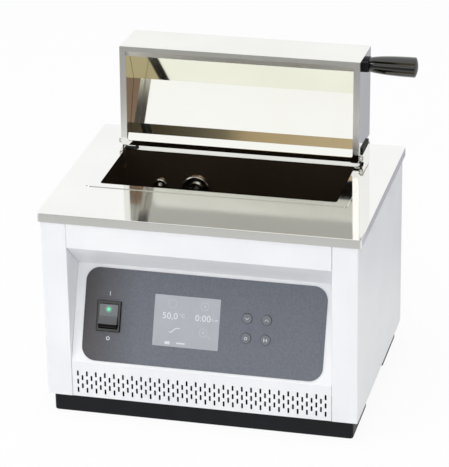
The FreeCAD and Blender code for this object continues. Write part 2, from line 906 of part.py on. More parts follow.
def bottom_screw_places():
    return both_ways(case_half - case_sheet - case_flange / 2, hand_gap_half - bottom_screw_inset)


def make_bottom_screws():
    screws = []
    for x, y in bottom_screw_places():
        screws.append(screw(m4_r, m4_head_r, m4_head, 6 * case_sheet, (x, y, case_bottom), (0, 0, 1)))
    return group(screws)


def plinth_screw_places():
    return both_ways(case_half - plinth_screw_x, case_rear - plinth_front_inset - plinth_screw_y)


# Plinth: hollow black moulding across the front, and its twin across the rear
def make_plinth(front):
    hx = case_half - plinth_side_inset
    y0 = case_front + plinth_front_inset
    y1 = y0 + plinth_length
    outer = rounded_box(-hx, hx, y0, y1, foot_proud, case_bottom, plinth_corner_r)
    low_edges = [e for e in outer.Edges if e.BoundBox.ZMax < foot_proud + touch]
    outer = outer.makeFillet(plinth_edge_r, low_edges)
    w = plinth_wall
    hollow = rounded_box(-hx + w, hx - w, y0 + w, y1 - w, foot_proud + 2 * w, far, plinth_corner_r - w)
    shell = outer.cut(hollow)
    adds = []
    cuts = []
    for x, y in plinth_screw_places():
        if y < 0:
            adds.append(rod(plinth_boss_r, bottom_plate_z - foot_proud - w, (x, y, foot_proud + w), (0, 0, 1)))
            cuts.append(rod(m4_head_r + gap, foot_proud + plinth_screw_depth, (x, y, 0), (0, 0, 1)))
            cuts.append(rod(m4_r + screw_clearance, far, (x, y, 0), (0, 0, 1)))
    for x, y in foot_places():
        if y < 0:
            cuts.append(rod(foot_r + gap, foot_height, (x, y, 0), (0, 0, 1)))
    plinth = joined([shell] + adds).cut(cuts)
    if not front:
        plinth = plinth.mirror(FreeCAD.Vector(0, 0, 0), FreeCAD.Vector(0, 1, 0))
    return plinth


def foot_places():
    return both_ways(case_half - plinth_side_inset - foot_in, case_rear - plinth_front_inset - foot_in)


def make_feet():
    feet = []
    for x, y in foot_places():
        pad = rod(foot_r, foot_height, (x, y, 0), (0, 0, 1))
        edges = [e for e in pad.Edges if e.BoundBox.ZMax < touch]
        feet.append(pad.makeFillet(foot_edge_r, edges))
    return group(feet)


def make_plinth_screws():
    base = foot_proud + plinth_screw_depth
    length = bottom_top + 2 * case_sheet - base
    screws = []
    for x, y in plinth_screw_places():
        screws.append(screw(m4_r, m4_head_r, m4_head, length, (x, y, base), (0, 0, 1)))
    return group(screws)


# Lid shell: flat outer box with an inward rim flange and a low tail along the hinge
def make_lid_shell():
    outline = [
        (lid_front, lid_rim),
        (lid_rear, lid_rim),
        (lid_rear, lid_rim + tail_height),
        (lid_back_wall, lid_rim + tail_height),
        (lid_back_wall, lid_top),
        (lid_front, lid_top),
    ]
    outer = prism_x(outline, -lid_half, lid_half)
    soft = []
    for edge in outer.Edges:
        box_e = edge.BoundBox
        if box_e.ZMin > lid_top - touch:
            soft.append(edge)
        if abs(box_e.YMax - lid_front) < touch and box_e.ZLength > lid_height / 2:
            soft.append(edge)
    outer = outer.makeFillet(lid_edge_r, soft)
    s = lid_sheet
    inner_line = [
        (lid_front + s, lid_rim + s),
        (lid_rear - s, lid_rim + s),
        (lid_rear - s, lid_rim + tail_height - s),
        (lid_back_wall - s, lid_rim + tail_height - s),
        (lid_back_wall - s, lid_top - s),
        (lid_front + s, lid_top - s),
    ]
    inner = prism_x(inner_line, -lid_half + s, lid_half - s)
    mouth_x = lid_half - lid_side_flange
    mouth = rounded_box(-mouth_x, mouth_x, lid_front + lid_end_flange, lid_rear - lid_end_flange,
                        lid_rim - s, lid_rim + 2 * s, lid_mouth_r)
    pivot = rod(pin_r + pin_clearance, 4 * lid_half, (-2 * lid_half, pivot_y, pivot_z), (1, 0, 0))
    stud = rod(handle_screw_r + screw_clearance, 2 * lid_half, (0, handle_y, handle_z), (1, 0, 0))
    return opened(outer.cut([inner, mouth, pivot, stud]))


def liner_line():
    """Seen face of the liner, from the front lip over the ridge to the rear lip."""
    lip = lid_rim + lid_sheet
    inner_front = lid_front + lid_end_flange + liner_front_lip
    inner_rear = lid_back_wall - lid_sheet - gap - liner_sheet
    ridge = (inner_front + inner_rear) / 2 - liner_ridge_forward
    return [
        (lid_front + lid_sheet + gap, lip),
        (lid_front + lid_end_flange, lip),
        (inner_front, lip + liner_lip_rise),
        (inner_front, lid_top - liner_front_drop),
        (ridge, lid_top - liner_ridge_drop),
        (inner_rear, lid_top - liner_rear_drop),
        (inner_rear, lip + liner_lip_rise),
        (lid_rear - lid_end_flange, lip),
        (lid_rear - lid_sheet - 2 * gap, lip),
    ]


# Lid liner: gabled inner roof whose lips lie on the shell's end flanges, notched round the handle's screw
def make_lid_liner():
    x = lid_half - lid_sheet - liner_side_clear
    liner = folded_sheet(liner_line(), liner_sheet, -x, x)
    head_x = lid_half - lid_sheet - handle_screw_head
    notch_r = handle_screw_head_r + gap
    notch = rod(notch_r, handle_screw_head + gap, (head_x - gap, handle_y, handle_z), (1, 0, 0))
    return opened(liner.cut(notch))


# Lid insulation: foam between the gabled liner and the flat outer skin
def make_lid_insulation():
    low = offset_line(liner_line()[2:7], liner_sheet + gap)
    top = lid_top - lid_sheet - gap
    rear = lid_back_wall - lid_sheet - gap
    front = lid_front + lid_sheet + gap
    start = lid_rim + foam_start
    corner, ridge, end = low[1:4]
    rear_z = ridge[1] + (end[1] - ridge[1]) * (rear - ridge[0]) / (end[0] - ridge[0])
    outline = [(front, start), (corner[0], start), corner, ridge, (rear, rear_z), (rear, top), (front, top)]
    x = lid_half - lid_sheet - gap
    foam = prism_x(outline, -x, x)
    pocket = rod(foam_pocket_r, 2 * foam_pocket, (x - foam_pocket, handle_y, handle_z), (1, 0, 0))
    return opened(foam.cut(pocket))


# Hinge blocks: black bearing blocks inside the lid's tail
def make_hinge_block():
    x1 = lid_half - lid_sheet
    low = lid_rim + lid_sheet + liner_lip_rise + liner_sheet + gap
    block = box(x1 - hinge_block_width, x1, lid_back_wall + gap, lid_rear - lid_sheet,
                low, lid_rim + tail_height - lid_sheet)
    pivot = rod(pin_r + pin_clearance, 2 * lid_half, (0, pivot_y, pivot_z), (1, 0, 0))
    return opened(block.cut(pivot))


# Hinge pin: headed pin through the ear into the hinge block
def make_hinge_pin():
    x0 = lid_half - lid_sheet - hinge_block_width + pin_end
    pin = rod(pin_r, ear_out - x0, (x0, pivot_y, pivot_z), (1, 0, 0))
    head = rod(pin_head_r, pin_head, (ear_out, pivot_y, pivot_z), (1, 0, 0))
    return joined([pin, head])


# Hinge bracket: upright ear beside the lid, with a foot turned in behind it and screwed to the top plate
def make_hinge_bracket():
    eye = rod(ear_round, ear_sheet, (ear_in, pivot_y, pivot_z), (1, 0, 0))
    web = prism_x([
        (pivot_y, pivot_z - ear_round),
        (ear_foot_start, plate_top),
        (ear_rear, plate_top),
        (ear_rear, ear_top),
        (pivot_y, ear_top),
    ], ear_in, ear_out)
    foot = box(ear_in - ear_foot_width, ear_out, ear_foot_start, ear_rear,
               plate_top, plate_top + ear_foot_sheet)
    bracket = joined([eye, web, foot])
    cuts = [rod(pin_r + pin_clearance, 3 * ear_sheet, (ear_in - ear_sheet, pivot_y, pivot_z), (1, 0, 0))]
    for x, y in bracket_screw_places():
        if x > 0:
            cuts.append(rod(m3_r + screw_clearance, 3 * ear_foot_sheet, (x, y, plate_under), (0, 0, 1)))
    return bracket.cut(cuts)


def bracket_screw_places():
    x = ear_in - ear_foot_width / 2
    places = []
    for side in (-1, 1):
        for y in (ear_foot_start + ear_screw_inset, ear_rear - ear_screw_inset):
            places.append((side * x, y))
    return places


def make_bracket_screws():
    top = plate_top + ear_foot_sheet
    screws = []
    for x, y in bracket_screw_places():
        screws.append(screw(m3_r, m3_head_r, m3_head, 6 * plate_sheet, (x, y, top), (0, 0, -1)))
    return group(screws)


# Lid stop: rubber block on the lid's back wall that rests on the ear when the lid is open
def make_lid_stop():
    a = math.radians(open_angle - 90)
    out = pivot_y - lid_back_wall
    wall_z = pivot_z + out * math.cos(a)
    y0 = ear_rear - stop_length
    y1 = ear_rear - stop_end
    low = ear_top + gap

    def wall_at(y):
        return wall_z - (y - pivot_y - out * math.sin(a)) * math.tan(a)

    outline = [(y0, low), (y1, low), (y1, wall_at(y1)), (y0, wall_at(y0))]
    return prism_x(outline, lid_half - stop_inner, lid_half + stop_outer)


# Handle block: black mounting block on the lid's right side
def make_handle_block():
    x0 = lid_half
    hy = handle_block_height / 2
    hz = handle_block_length / 2
    block = box(x0, x0 + handle_block, handle_y - hy, handle_y + hy, handle_z - hz, handle_z + hz)
    edges = [e for e in block.Edges if e.BoundBox.XMin > x0 + handle_block - touch]
    block = block.makeFillet(handle_block_r, edges)
    boss = rod(grip_neck_r + handle_boss_rim, handle_block, (x0, handle_y, handle_z), (1, 0, 0))
    hole = rod(handle_screw_r + screw_clearance, handle_block, (x0, handle_y, handle_z), (1, 0, 0))
    return opened(joined([block, boss]).cut(hole))


# Handle grip: turned black grip, slim at the lid and full at the end
def make_handle_grip():
    x0 = lid_half + handle_block
    x1 = x0 + grip_length
    band_r = grip_end_r - grip_groove
    ring = x1 - grip_cap - grip_groove

    def at(x, r):
        return FreeCAD.Vector(x, r, 0)

    curve = Part.BezierCurve()
    curve.setPoles([at(x0, grip_neck_r), at(x0 + grip_neck_share * grip_length, grip_neck_r),
                    at(x0 + grip_swell_share * grip_length, grip_end_r), at(ring, grip_end_r)])
    dome_r = (band_r ** 2 + grip_cap ** 2) / (2 * grip_cap)
    half_way = band_r / 2
    sag = dome_r - math.sqrt(dome_r ** 2 - half_way ** 2)
    face = Part.Face(Part.Wire([
        Part.LineSegment(at(x0, 0), at(x0, grip_neck_r)).toShape(),
        curve.toShape(),
        Part.LineSegment(at(ring, grip_end_r), at(ring, band_r)).toShape(),
        Part.LineSegment(at(ring, band_r), at(x1 - grip_cap, band_r)).toShape(),
        Part.Arc(at(x1 - grip_cap, band_r), at(x1 - sag, half_way), at(x1, 0)).toShape(),
        Part.LineSegment(at(x1, 0), at(x0, 0)).toShape(),
    ]))
    grip = face.revolve(FreeCAD.Vector(0, 0, 0), FreeCAD.Vector(1, 0, 0), 360)
    grip = grip.cut(rod(handle_screw_r + screw_clearance, grip_bore, (x0, 0, 0), (1, 0, 0)))
    grip.translate(FreeCAD.Vector(0, handle_y, handle_z))
    return opened(grip)


# Handle screw: from inside the lid through the block into the grip
def make_handle_screw():
    base = (lid_half - lid_sheet, handle_y, handle_z)
    bolt = screw(handle_screw_r, handle_screw_head_r, handle_screw_head, handle_screw_length, base, (1, 0, 0))
    return opened(bolt)


# Overflow fitting: round stepped flange inside the tank, threaded body through its wall
def make_overflow_fitting():
    y = opening_rear
    face = y - port_flange
    flange = rod(port_flange_r, port_flange, (port_x, face, port_z), (0, 1, 0))
    edges = [e for e in flange.Edges if e.BoundBox.YMax < face + touch]
    flange = flange.makeFillet(port_flange_edge_r, edges)
    lip_r = port_body_r - port_lip_inset
    groove = rod(port_flange_r - port_groove_rim, port_groove, (port_x, face, port_z), (0, 1, 0))
    groove = groove.cut(rod(lip_r, port_groove, (port_x, face, port_z), (0, 1, 0)))
    lip = rod(lip_r, port_lip, (port_x, face - port_lip, port_z), (0, 1, 0))
    body = rod(port_body_r, port_body_length, (port_x, y, port_z), (0, 1, 0))
    mouth = FreeCAD.Vector(port_x, face - port_lip, port_z)
    bore = rod(port_bore_r, far, mouth, (0, 1, 0))
    funnel = Part.makeCone(port_bore_r + port_funnel_flare, port_bore_r, port_funnel, mouth,
                           FreeCAD.Vector(0, 1, 0))
    return joined([flange.cut(groove), lip, body]).cut([bore, funnel])


def make_overflow_nut():
    return hex_nut(port_body_r + nut_clearance, port_nut_r, port_nut,
                   (port_x, opening_rear + tank_sheet, port_z), (0, 1, 0))


# Overflow pipe: from the fitting through the rear panel to a smooth hose nozzle
def make_overflow_pipe():
    y0 = opening_rear + port_body_length
    pipe = rod(nozzle_r, nozzle_end - y0, (port_x, y0, port_z), (0, 1, 0))
    ends = [e for e in pipe.Edges if e.BoundBox.YMin > nozzle_end - touch]
    pipe = pipe.makeChamfer(nozzle_chamfer, ends)
    collar = rod(nozzle_r + nozzle_collar, nozzle_collar, (port_x, rear_face, port_z), (0, 1, 0))
    bore = rod(port_bore_r, far, (port_x, y0, port_z), (0, 1, 0))
    return joined([pipe, collar]).cut(bore)


# Temperature probe: domed head inside the tank, shank and nut behind its wall
def make_temperature_probe():
    y = opening_rear
    face = y - probe_head
    head = rod(probe_head_r, probe_head, (probe_x, face, probe_z), (0, 1, 0))
    edges = [e for e in head.Edges if e.BoundBox.YMax < face + touch]
    head = head.makeFillet(probe_head_edge_r, edges)
    tip = Part.makeSphere(probe_tip_r, FreeCAD.Vector(probe_x, face, probe_z))
    tip = tip.cut(box(-far, far, face + probe_head / 2, far, -far, far))
    shank = rod(probe_body_r, probe_body_length, (probe_x, y, probe_z), (0, 1, 0))
    return joined([head, tip, shank])


def make_probe_nut():
    return hex_nut(probe_body_r + nut_clearance, probe_nut_r, probe_nut,
                   (probe_x, opening_rear + tank_sheet, probe_z), (0, 1, 0))


# Mains inlet: appliance socket in the rear panel with three flat pins
def make_mains_inlet():
    hx = inlet_width / 2
    hz = inlet_height / 2
    y1 = rear_face
    y2 = y1 + inlet_flange
    body = box(inlet_x - hx, inlet_x + hx, y1 - inlet_depth, y1, inlet_z - hz, inlet_z + hz)
    flange = rounded_box_y(inlet_x, inlet_z, 2 * inlet_ears + inlet_flange_side,
                           inlet_height + inlet_flange_end, y1, y2, inlet_flange_r)
    wall_x, wall_z = inlet_well_wall
    well = rounded_box_y(inlet_x, inlet_z, inlet_width - 2 * wall_x, inlet_height - 2 * wall_z,
                         y1 - inlet_well, y2, inlet_well_r)
    holes = [well]
    for x, z in inlet_screw_places():
        holes.append(rod(m3_r + screw_clearance, inlet_flange, (x, y1, z), (0, 1, 0)))
    px, pz = inlet_pin[0] / 2, inlet_pin[1] / 2
    live_z, earth_z = inlet_pin_z
    pins = []
    for x, z in ((-inlet_pin_x, live_z), (inlet_pin_x, live_z), (0, earth_z)):
        pins.append(box(inlet_x + x - px, inlet_x + x + px, y1 - inlet_pin_back, y1 - inlet_pin_front,
                        inlet_z + z - pz, inlet_z + z + pz))
    return joined([joined([body, flange]).cut(holes)] + pins)


def inlet_screw_places():
    return [(inlet_x + side * inlet_ears, inlet_z) for side in (-1, 1)]


def rounded_box_y(x, z, width, height, y0, y1, r):
    block = box(x - width / 2, x + width / 2, y0, y1, z - height / 2, z + height / 2)
    edges = [e for e in block.Edges if abs(e.tangentAt(e.FirstParameter).y) > 0.99]
    return block.makeFillet(r, edges)


def make_inlet_screws():
    screws = []
    for x, z in inlet_screw_places():
        base = (x, rear_face + inlet_flange, z)
        screws.append(screw(m3_r, m3_head_r, m3_head, 6 * case_sheet, base, (0, -1, 0)))
    return group(screws)


def power_board_corners():
    return inset_corners(power_board_x, power_board_y, power_board_screw_inset)


# Power board: mains circuit board on spacers above the bottom plate
def make_power_board():
    x0, x1 = power_board_x
    y0, y1 = power_board_y
    z1 = power_board_top
    board = box(x0, x1, y0, y1, power_board_z, z1)
    holes = []
    low = power_board_z - board_sheet
    for x, y in power_board_corners():
        holes.append(rod(m3_r + screw_clearance, 3 * board_sheet, (x, y, low), (0, 0, 1)))
    parts = [board.cut(holes)]
    for i in range(capacitors):
        x = x0 + (i + 1.5) * capacitor_pitch
        parts.append(rod(capacitor_r, capacitor_height, (x, y0 + 1.5 * capacitor_pitch, z1), (0, 0, 1)))
    half = cable_width / 2 + plug_wall
    parts.append(box(power_plug_x - half, power_plug_x + half, power_plug_y[0], power_plug_y[1],
                     z1, z1 + power_plug_height))
    return joined(parts)


def make_power_board_spacers():
    spacers = []
    for x, y in power_board_corners():
        spacers.append(hex_nut(m3_r + screw_clearance, standoff_r, power_board_z - bottom_top,
                               (x, y, bottom_top), (0, 0, 1)))
    return group(spacers)


def make_power_board_screws():
    screws = []
    for x, y in power_board_corners():
        screws.append(screw(m3_r, m3_head_r, m3_head, power_board_top - bottom_plate_z,
                            (x, y, power_board_top), (0, 0, -1)))
    return group(screws)


# Transformer: laminated core with a winding bobbin
def make_transformer():
    x, y = board_middle()
    x -= core_width
    z0 = power_board_top
    z1 = z0 + core_height
    hx = core_width / 2
    hy = core_depth / 2
    core = box(x - hx, x + hx, y - hy, y + hy, z0, z1)
    window = box(x - hx + core_limb, x + hx - core_limb, y - core_depth, y + core_depth,
                 z0 + core_yoke, z1 - core_yoke)
    bx = hx - core_limb + bobbin_clear
    by = hy + bobbin_overhang
    bobbin = rounded_box(x - bx, x + bx, y - by, y + by, z0 + bobbin_clear, z1 - bobbin_clear, bobbin_r)
    return joined([core.cut(window), bobbin])


def board_middle():
    return (power_board_x[0] + power_board_x[1]) / 2, (power_board_y[0] + power_board_y[1]) / 2


# Heater relay: solid-state relay with its finned heat sink
def make_heater_relay():
    middle_x, middle_y = board_middle()
    x0 = middle_x + relay_width
    y0 = middle_y - relay_depth / 4
    y1 = y0 + relay_depth
    z0 = power_board_top
    base = box(x0, x0 + relay_width, y0, y1, z0, z0 + relay_base)
    fins = []
    for i in range(relay_fins):
        x = x0 + i * relay_fin_pitch
        fins.append(box(x, x + relay_fin, y0, y1, z0 + relay_base, z0 + relay_height))
    return joined([base] + fins)


def slope_point(down, depth):
    """The YZ place of a point on the control face, so far down it and so deep behind it."""
    a = math.radians(slope_angle)
    y = ledge_y - down * math.sin(a) + depth * math.cos(a)
    z = ledge_z - down * math.cos(a) - depth * math.sin(a)
    return y, z


# Ribbon cable: flat cable from the plug behind the control board down to the power board's plug
def make_ribbon_cable():
    depth = board_back + board_plug
    start = slope_point(board_plug_down, depth)
    bend = slope_point(board_plug_down, depth + cable_tail)
    top = power_board_top + power_plug_height
    y0, y1 = power_plug_y
    line = [start, bend, (y0 - cable_lift, top + cable_lift), (y0 + plug_wall, top), (y1 - cable_lift, top)]
    return folded_sheet(line, cable_sheet, power_plug_x - cable_width / 2, power_plug_x + cable_width / 2)


parts = {
    "top_plate": make_top_plate(),
    "tank": make_tank(),
    "heater_mat": make_heater_mat(),
    "insulation_jacket": make_jacket(),
    "overheat_cutout": make_overheat_cutout(),
    "side_panel_right": make_side_panel(),
    "side_panel_left": mirrored(make_side_panel()),
    "front_panel": make_front_panel(),
    "rear_panel": make_rear_panel(),
    "rear_panel_screws": make_rear_screws(),
    "bottom_plate": make_bottom_plate(),
    "bottom_plate_screws": make_bottom_screws(),
    "plinth_front": make_plinth(True),
    "plinth_rear": make_plinth(False),
    "plinth_screws": make_plinth_screws(),
    "foot_pads": make_feet(),
    "control_membrane": make_membrane(),
    "display_window": make_display_window(),
    "display_module": make_display_module(),
    "down_button": make_button(button_x[0], button_down[0]),
    "up_button": make_button(button_x[1], button_down[0]),
    "select_button": make_button(button_x[0], button_down[1]),
    "menu_button": make_button(button_x[1], button_down[1]),
    "control_board": make_control_board(),
    "board_standoffs": make_board_standoffs(),
    "board_screws": make_board_screws(),
    "switch_housing": make_switch_housing(),
    "power_rocker": make_rocker(),
    "rocker_lens": make_rocker_lens(),
    "lid_shell": make_lid_shell(),
    "lid_liner": make_lid_liner(),
    "lid_insulation": make_lid_insulation(),
    "hinge_block_right": make_hinge_block(),
    "hinge_block_left": mirrored(make_hinge_block()),
    "hinge_pin_right": make_hinge_pin(),
    "hinge_pin_left": mirrored(make_hinge_pin()),
    "hinge_bracket_right": make_hinge_bracket(),
    "hinge_bracket_left": mirrored(make_hinge_bracket()),
    "bracket_screws": make_bracket_screws(),
    "lid_stop_right": make_lid_stop(),
    "lid_stop_left": mirrored(make_lid_stop()),
    "handle_block": make_handle_block(),
    "handle_grip": make_handle_grip(),
    "handle_screw": make_handle_screw(),
    "overflow_fitting": make_overflow_fitting(),
    "overflow_nut": make_overflow_nut(),
    "overflow_pipe": make_overflow_pipe(),
    "temperature_probe": make_temperature_probe(),
    "probe_nut": make_probe_nut(),
    "mains_inlet": make_mains_inlet(),
    "inlet_screws": make_inlet_screws(),
    "power_board": make_power_board(),
    "power_board_spacers": make_power_board_spacers(),
    "power_board_screws": make_power_board_screws(),
    "transformer": make_transformer(),
    "heater_relay": make_heater_relay(),
    "ribbon_cable": make_ribbon_cable(),
}

os.makedirs("parts", exist_ok=True)
for name, shape in parts.items():
    shape.translate(FreeCAD.Vector(-box_middle[0], -box_middle[1], 0))
    shape.exportStep("parts/" + name + ".step")
    print(name, len(shape.Solids), round(shape.Volume / 1000, 2), shape.isValid())
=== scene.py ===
import bpy
import json
import math
from mathutils import Matrix, Vector


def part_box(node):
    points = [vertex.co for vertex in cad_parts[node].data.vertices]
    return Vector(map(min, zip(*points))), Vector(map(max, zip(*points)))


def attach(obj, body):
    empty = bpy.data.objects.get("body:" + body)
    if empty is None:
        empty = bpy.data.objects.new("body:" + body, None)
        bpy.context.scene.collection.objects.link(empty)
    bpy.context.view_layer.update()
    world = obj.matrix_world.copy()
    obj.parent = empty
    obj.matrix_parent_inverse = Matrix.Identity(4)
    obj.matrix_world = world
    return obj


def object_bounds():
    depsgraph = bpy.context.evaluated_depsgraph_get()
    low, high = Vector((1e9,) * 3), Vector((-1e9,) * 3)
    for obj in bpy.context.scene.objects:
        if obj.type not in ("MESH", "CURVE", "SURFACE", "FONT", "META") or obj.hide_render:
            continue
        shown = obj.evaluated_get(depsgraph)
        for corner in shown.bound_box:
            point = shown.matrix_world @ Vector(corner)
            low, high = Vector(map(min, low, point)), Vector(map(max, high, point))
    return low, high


# Looks for a laboratory water bath: white casing, polished steel top, tank and lid.
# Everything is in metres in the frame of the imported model.

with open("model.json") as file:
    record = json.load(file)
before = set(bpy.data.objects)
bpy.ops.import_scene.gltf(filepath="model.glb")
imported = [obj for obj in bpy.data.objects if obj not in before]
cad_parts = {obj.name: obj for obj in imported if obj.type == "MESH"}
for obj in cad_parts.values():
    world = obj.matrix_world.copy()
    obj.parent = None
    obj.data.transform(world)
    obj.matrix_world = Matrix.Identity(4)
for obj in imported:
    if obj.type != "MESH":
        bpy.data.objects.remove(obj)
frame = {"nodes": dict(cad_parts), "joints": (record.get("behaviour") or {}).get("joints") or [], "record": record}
cad_box = [list(corner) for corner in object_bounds()]
nodes = frame["nodes"]
mm = 0.001
WHITE = (1.0, 1.0, 1.0, 1.0)
# Past every face of the object
FAR = 1.0


def srgb(red, green, blue, alpha=1.0):
    """A colour as an image editor shows it, 0 to 255, as Blender's linear values."""
    linear = []
    for value in (red, green, blue):
        share = value / 255
        linear.append(share / 12.92 if share <= 0.04045 else ((share + 0.055) / 1.055) ** 2.4)
    return (*linear, alpha)


# Material building blocks
def start_material(name):
    """A new material with its node tree and its Principled shader."""
    material = bpy.data.materials.new(name)
    material.use_nodes = True
    tree = material.node_tree
    return material, tree, tree.nodes["Principled BSDF"]


def add(tree, kind, **settings):
    node = tree.nodes.new(kind)
    for key, value in settings.items():
        setattr(node, key, value)
    return node


def object_place(tree, stretch=(1, 1, 1)):
    """Object coordinates in metres, with each axis stretched for streaks."""
    place = add(tree, "ShaderNodeTexCoord")
    mapping = add(tree, "ShaderNodeMapping")
    mapping.inputs["Scale"].default_value = stretch
    tree.links.new(place.outputs["Object"], mapping.inputs["Vector"])
    return mapping.outputs["Vector"]


def noise(tree, scale, detail=3.0, stretch=(1, 1, 1)):
    """Noise with features of about 1 / scale metres."""
    texture = add(tree, "ShaderNodeTexNoise")
    texture.inputs["Scale"].default_value = scale
    texture.inputs["Detail"].default_value = detail
    tree.links.new(object_place(tree, stretch), texture.inputs["Vector"])
    return texture.outputs["Fac"]


def ramp(tree, value, stops):
    """Colours along a value: stops are (place, colour)."""
    node = add(tree, "ShaderNodeValToRGB")
    elements = node.color_ramp.elements
    while len(elements) < len(stops):
        elements.new(0.5)
    for element, (place, colour) in zip(elements, stops):
        element.position = place
        element.color = colour
    tree.links.new(value, node.inputs["Fac"])
    return node.outputs["Color"]


def spread(tree, value, low, high, start=0.3, end=0.7):
    """Maps a value between start and end to a span from low to high."""
    node = add(tree, "ShaderNodeMapRange")
    node.inputs["From Min"].default_value = start
    node.inputs["From Max"].default_value = end
    node.inputs["To Min"].default_value = low
    node.inputs["To Max"].default_value = high
    tree.links.new(value, node.inputs["Value"])
    return node.outputs["Result"]


def bump(tree, shader, *layers):
    """Stacks bump layers: each is (height, depth in metres)."""
    normal = None
    for height, depth in layers:
        node = add(tree, "ShaderNodeBump")
        node.inputs["Strength"].default_value = 1.0
        node.inputs["Distance"].default_value = depth
        tree.links.new(height, node.inputs["Height"])
        if normal is not None:
            tree.links.new(normal, node.inputs["Normal"])
        normal = node.outputs["Normal"]
    tree.links.new(normal, shader.inputs["Normal"])


def product(tree, *values):
    """Multiplies shader values together."""
    result = values[0]
    for value in values[1:]:
        node = add(tree, "ShaderNodeMath", operation="MULTIPLY")
        tree.links.new(result, node.inputs[0])
        tree.links.new(value, node.inputs[1])
        result = node.outputs["Value"]
    return result


def scaled_value(tree, value, factor):
    node = add(tree, "ShaderNodeMath", operation="MULTIPLY")
    node.inputs[1].default_value = factor
    tree.links.new(value, node.inputs[0])
    return node.outputs["Value"]


def larger(tree, *values):
    result = values[0]
    for value in values[1:]:
        node = add(tree, "ShaderNodeMath", operation="MAXIMUM")
        tree.links.new(result, node.inputs[0])
        tree.links.new(value, node.inputs[1])
        result = node.outputs["Value"]
    return result


def band(tree, value, low, high, soft):
    """1 between low and high, fading to 0 outside over the soft width."""
    return product(tree, spread(tree, value, 0.0, 1.0, low - soft, low),
                   spread(tree, value, 1.0, 0.0, high, high + soft))


def in_zone(tree, zone, soft):
    """1 inside a box, fading to 0 outside: zone holds (axis, low, high) for some of the three axes."""
    split = add(tree, "ShaderNodeSeparateXYZ")
    tree.links.new(object_place(tree), split.inputs["Vector"])
    return product(tree, *[band(tree, split.outputs[axis], low, high, soft) for axis, low, high in zone])


def distance_from(tree, centre):
    """The distance in metres from a point of the object."""
    reach = add(tree, "ShaderNodeVectorMath", operation="DISTANCE")
    reach.inputs[1].default_value = centre
    tree.links.new(object_place(tree), reach.inputs[0])
    return reach.outputs["Value"]


def blend_colour(tree, share, under, over):
    """Mixes two colours, each a socket or a plain colour."""
    node = add(tree, "ShaderNodeMix", data_type="RGBA")
    tree.links.new(share, node.inputs["Factor"])
    for socket, colour in ((node.inputs[6], under), (node.inputs[7], over)):
        if isinstance(colour, tuple):
            socket.default_value = colour
        else:
            tree.links.new(colour, socket)
    return node.outputs[2]


def finish_material(name, dark, light, scale, rough, metallic=0.0, grain=None, waves=None,
                    stretch=(1, 1, 1), specular=0.5, coat=0.0):
    """A surface whose colour and roughness wander a little, with optional fine grain and slow waves."""
    material, tree, shader = start_material(name)
    shader.inputs["Specular IOR Level"].default_value = specular
    shader.inputs["Coat Weight"].default_value = coat
    wander = noise(tree, scale, stretch=stretch)
    tree.links.new(ramp(tree, wander, [(0.3, dark), (0.7, light)]), shader.inputs["Base Color"])
    tree.links.new(spread(tree, wander, *rough), shader.inputs["Roughness"])
    shader.inputs["Metallic"].default_value = metallic
    layers = []
    for layer in (waves, grain):
        if layer:
            size, depth = layer
            layers.append((noise(tree, size, detail=2.0, stretch=stretch), depth))
    if layers:
        bump(tree, shader, *layers)
    return material


# Polished stainless sheet: faint polishing haze and slow waves that bend reflections a little
POLISH = {"waves": (11, 0.00005), "grain": (900, 0.0000015)}


def polished_steel(name, dark, light):
    return finish_material(name, dark, light, 9, (0.035, 0.075), metallic=1.0, **POLISH)


def lit_material(name, colour, strength):
    """A surface that gives its own light, as a backlit screen does."""
    material, tree, shader = start_material(name)
    flicker = noise(tree, 60)
    dim = tuple(0.94 * part for part in colour[:3]) + (1,)
    tree.links.new(ramp(tree, flicker, [(0.3, dim), (0.7, colour)]), shader.inputs["Emission Color"])
    shader.inputs["Emission Strength"].default_value = strength
    shader.inputs["Base Color"].default_value = (0.02, 0.02, 0.02, 1)
    shader.inputs["Roughness"].default_value = 0.5
    return material


